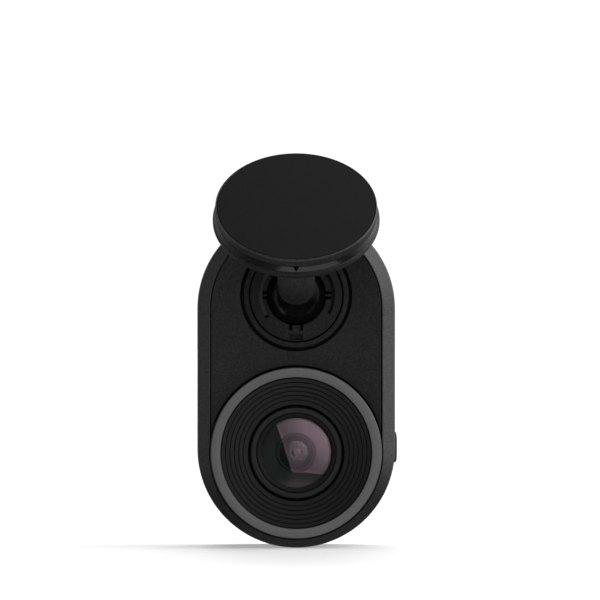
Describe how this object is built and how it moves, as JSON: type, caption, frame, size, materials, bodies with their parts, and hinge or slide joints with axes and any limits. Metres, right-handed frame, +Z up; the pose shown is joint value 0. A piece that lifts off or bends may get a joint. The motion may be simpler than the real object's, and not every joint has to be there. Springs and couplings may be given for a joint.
{
  "type": "dash camera",
  "caption": "Small dash camera with a round lens ring, hanging by a slotted ball socket from a tilted adhesive windscreen disc; key, card slot and power port on one side.",
  "frame": {"origin": "centre of the adhesive face of the mount's disc", "axes": "+Z up, along the camera body's height; the lens looks along -Y; +X is the side with the key, the card slot and the power port"},
  "size_m": [0.0314, 0.0441, 0.0619],
  "materials": {
    "shell_plastic": "black moulded plastic, fine satin grain",
    "panel_plastic": "black moulded plastic, fine matte grain",
    "bezel_metal": "dark grey anodised, fine bead-blasted",
    "hood_plastic": "black, matte, stepped",
    "barrel_metal": "black anodised, satin",
    "lens_glass": "coated optical glass, mauve reflection",
    "socket_plastic": "black acetal, satin",
    "mount_plastic": "black moulded plastic, fine grain",
    "adhesive_foam": "black foam tape under a matte film",
    "ball_plastic": "black, polished",
    "button_plastic": "black, satin",
    "circuit_board": "green solder resist",
    "chip_plastic": "black moulding compound",
    "steel": "plain stamped",
    "antenna_copper": "thin laminated foil",
    "flex_film": "amber polyimide film",
    "cell_foil": "laminated foil pouch",
    "light_plastic": "clear diffusing plastic",
    "card_plastic": "black, semi-gloss"
  },
  "bodies": {
    "mount": {"adhesive_pad": "adhesive_foam", "mount_plate": "mount_plastic", "mount_base": "mount_plastic", "mount_stem": "mount_plastic"},
    "ball": {"mount_ball": "ball_plastic"},
    "cup": {"socket_cup": "socket_plastic"},
    "camera": {"aperture_stop": "hood_plastic", "backup_battery": "cell_foil", "bezel_ring": "bezel_metal", "camera_board": "circuit_board", "card_connector": "steel", "flex_cable": "flex_film", "fourth_lens": "lens_glass", "front_lens": "lens_glass", "front_panel": "panel_plastic", "image_sensor": "chip_plastic", "ir_filter": "lens_glass", "lens_barrel": "barrel_metal", "lens_holder": "chip_plastic", "lens_hood": "hood_plastic", "lens_retainer": "barrel_metal", "light_pipe": "light_plastic", "main_board": "circuit_board", "main_housing": "shell_plastic", "memory_chip": "chip_plastic", "microphone": "steel", "module_screw_1": "steel", "module_screw_2": "steel", "processor": "chip_plastic", "rear_cover": "shell_plastic", "second_lens": "lens_glass", "shield_can": "steel", "side_switch": "steel", "socket_collar": "socket_plastic", "socket_ring": "socket_plastic", "speaker": "chip_plastic", "spring_washer": "steel", "status_led": "light_plastic", "switch_board": "circuit_board", "third_lens": "lens_glass", "usb_port": "steel", "wifi_antenna": "antenna_copper"},
    "key": {"side_button": "button_plastic"},
    "card": {"memory_card": "card_plastic"}
  },
  "joints": [
    {"name": "pan", "type": "hinge", "parent": "mount", "child": "ball", "pos_m": [0, 0.01, -0.01392], "axis": [0, 0, 1], "range_deg": [-15, 15]},
    {"name": "tilt", "type": "hinge", "parent": "ball", "child": "cup", "pos_m": [0, 0.01, -0.01392], "axis": [1, 0, 0], "range_deg": [-45, 8]},
    {"name": "roll", "type": "hinge", "parent": "cup", "child": "camera", "pos_m": [0, 0.01, -0.01392], "axis": [0, 1, 0], "range_deg": [-30, 30]},
    {"name": "key_press", "type": "slide", "parent": "camera", "child": "key", "axis": [-1, 0, 0], "range_m": [0, 0.00035], "stiffness_N_per_m": 1500},
    {"name": "card_slide", "type": "slide", "parent": "camera", "child": "card", "axis": [1, 0, 0], "range_m": [-0.0004, 0.016]}
  ]
}
